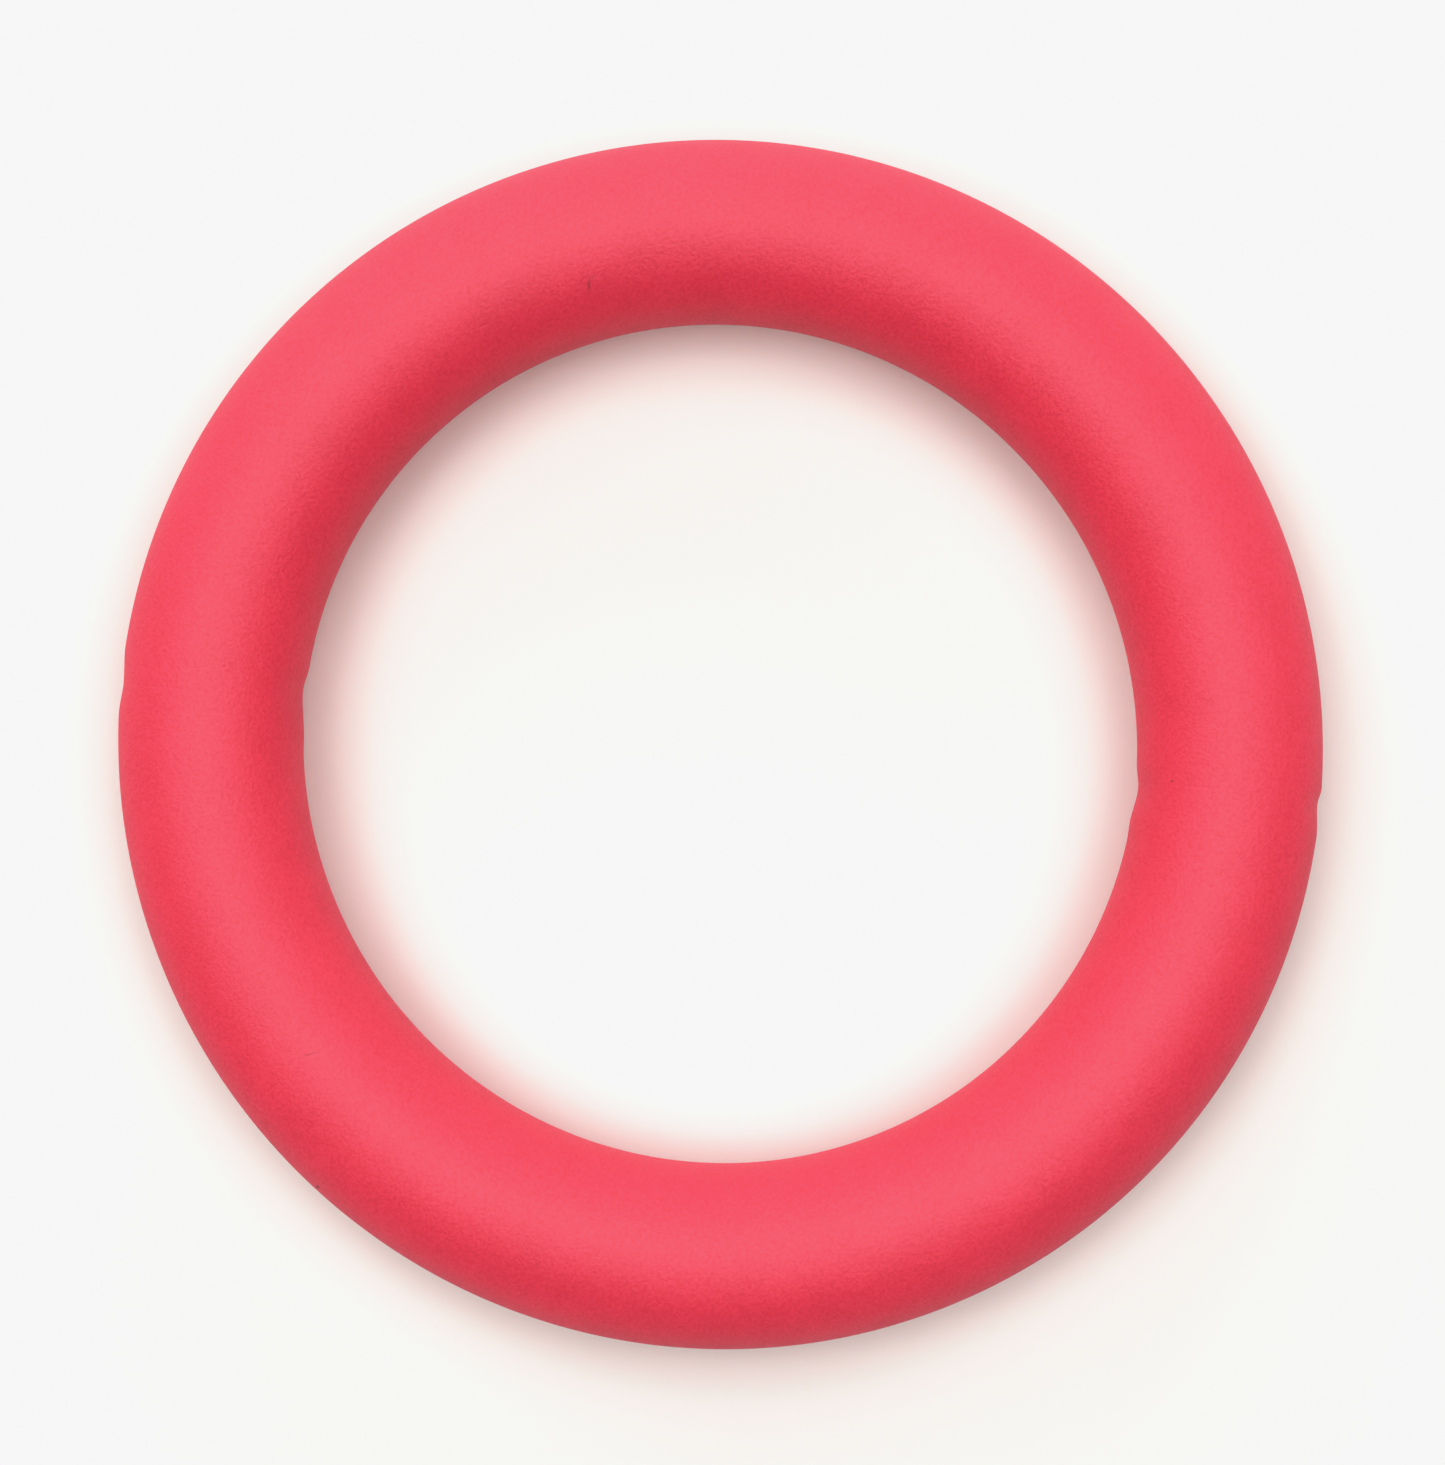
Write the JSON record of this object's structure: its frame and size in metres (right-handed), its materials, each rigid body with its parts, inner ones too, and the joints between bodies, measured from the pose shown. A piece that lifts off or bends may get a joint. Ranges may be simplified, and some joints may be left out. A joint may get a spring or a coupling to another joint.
{
  "type": "juggling ring",
  "caption": "Soft-grip juggling ring: a closed hoop of round section, matte foam sleeves butted end to end over a pinned plastic tube.",
  "frame": {"origin": "centre of the ring, on the plane that it lies on", "axes": "+Z is the ring's axis, upwards as it lies; +X passes through the right-hand joint"},
  "size_m": [0.2398, 0.24, 0.0366],
  "materials": {
    "foam": "matte moulded foam with a fine grain",
    "core_tube": "natural extruded polyethylene",
    "plug": "black moulded nylon",
    "pin": "bright spring steel"
  },
  "bodies": {
    "root": {"foam_sleeve_upper": "foam", "foam_sleeve_lower": "foam", "core_tube_upper": "core_tube", "core_tube_lower": "core_tube", "connector_plug_right": "plug", "connector_plug_left": "plug", "spring_pin_right_upper": "pin", "spring_pin_right_lower": "pin", "spring_pin_left_upper": "pin", "spring_pin_left_lower": "pin"}
  },
  "joints": []
}
